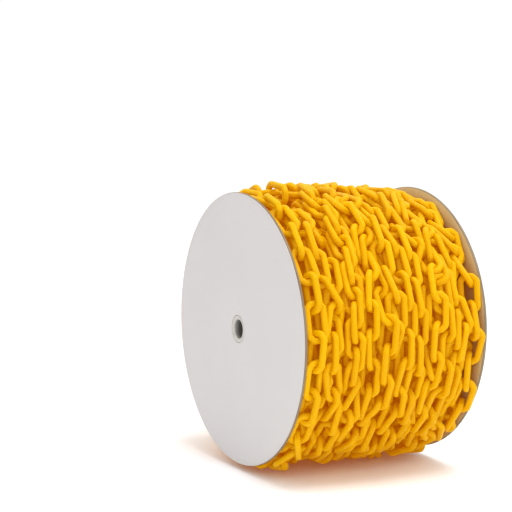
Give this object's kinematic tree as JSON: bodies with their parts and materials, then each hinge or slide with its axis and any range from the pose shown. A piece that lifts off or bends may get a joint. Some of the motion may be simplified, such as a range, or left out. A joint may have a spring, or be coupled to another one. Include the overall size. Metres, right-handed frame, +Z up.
{
  "type": "plastic barrier chain on a reel",
  "caption": "Yellow plastic barrier chain wound on a round two-flange reel with a central spindle hole; the free end of the chain lifts off link by link.",
  "frame": {"origin": "on the surface the reel stands on, straight below the middle of the reel", "axes": "+Y along the reel's axis towards the back flange, the front flange faces -Y, +Z up, +X the side of the reel seen in the picture"},
  "size_m": [0.2714, 0.195, 0.2753],
  "materials": {
    "facing": "matt, smooth, light grey",
    "hardboard": "raw brown hardboard, matt",
    "core_board": "spiral-wound grey-brown board, matt",
    "hub_metal": "dull plated steel",
    "chain_plastic": "satin moulded polyethylene"
  },
  "bodies": {
    "reel": {"facing_front": "facing", "flange_board_front": "hardboard", "facing_back": "facing", "flange_board_back": "hardboard", "core_tube": "core_board", "hub_tube": "hub_metal", "chain_layer_1": "chain_plastic", "chain_layer_2": "chain_plastic", "chain_layer_3": "chain_plastic", "chain_turn_01": "chain_plastic", "chain_turn_02": "chain_plastic", "chain_turn_03": "chain_plastic", "chain_turn_04": "chain_plastic", "chain_turn_05": "chain_plastic", "chain_turn_06": "chain_plastic", "chain_turn_07": "chain_plastic", "chain_turn_08": "chain_plastic", "chain_turn_09": "chain_plastic", "chain_turn_10": "chain_plastic", "chain_turn_11": "chain_plastic", "wound_link_1": "chain_plastic", "wound_link_2": "chain_plastic", "wound_link_3": "chain_plastic", "wound_link_4": "chain_plastic", "wound_link_5": "chain_plastic", "wound_link_6": "chain_plastic", "wound_link_7": "chain_plastic"},
    "link_1": {"tail_link_1": "chain_plastic"},
    "link_2": {"tail_link_2": "chain_plastic"},
    "link_3": {"tail_link_3": "chain_plastic"},
    "link_4": {"tail_link_4": "chain_plastic"},
    "link_5": {"tail_link_5": "chain_plastic"},
    "link_6": {"tail_link_6": "chain_plastic"},
    "link_7": {"tail_link_7": "chain_plastic"},
    "link_8": {"tail_link_8": "chain_plastic"}
  },
  "joints": [
    {"name": "link_1_lift", "type": "hinge", "parent": "reel", "child": "link_1", "pos_m": [-0.12442, -0.061, 0.14238], "axis": [0, -1, 0], "range_deg": [0, 45]},
    {"name": "link_2_lift", "type": "hinge", "parent": "link_1", "child": "link_2", "pos_m": [-0.11876, -0.061, 0.17489], "axis": [0, -1, 0], "range_deg": [0, 45]},
    {"name": "link_3_lift", "type": "hinge", "parent": "link_2", "child": "link_3", "pos_m": [-0.11146, -0.061, 0.19351], "axis": [0, -1, 0], "range_deg": [0, 45]},
    {"name": "link_4_lift", "type": "hinge", "parent": "link_3", "child": "link_4", "pos_m": [-0.09324, -0.061, 0.22103], "axis": [0, -1, 0], "range_deg": [0, 45]},
    {"name": "link_5_lift", "type": "hinge", "parent": "link_4", "child": "link_5", "pos_m": [-0.07896, -0.061, 0.23503], "axis": [0, -1, 0], "range_deg": [0, 45]},
    {"name": "link_6_lift", "type": "hinge", "parent": "link_5", "child": "link_6", "pos_m": [-0.05111, -0.061, 0.25274], "axis": [0, -1, 0], "range_deg": [0, 45]},
    {"name": "link_7_lift", "type": "hinge", "parent": "link_6", "child": "link_7", "pos_m": [-0.03238, -0.061, 0.25975], "axis": [0, -1, 0], "range_deg": [0, 45]},
    {"name": "link_8_lift", "type": "hinge", "parent": "link_7", "child": "link_8", "pos_m": [0.00024, -0.061, 0.26471], "axis": [0, -1, 0], "range_deg": [0, 45]}
  ]
}
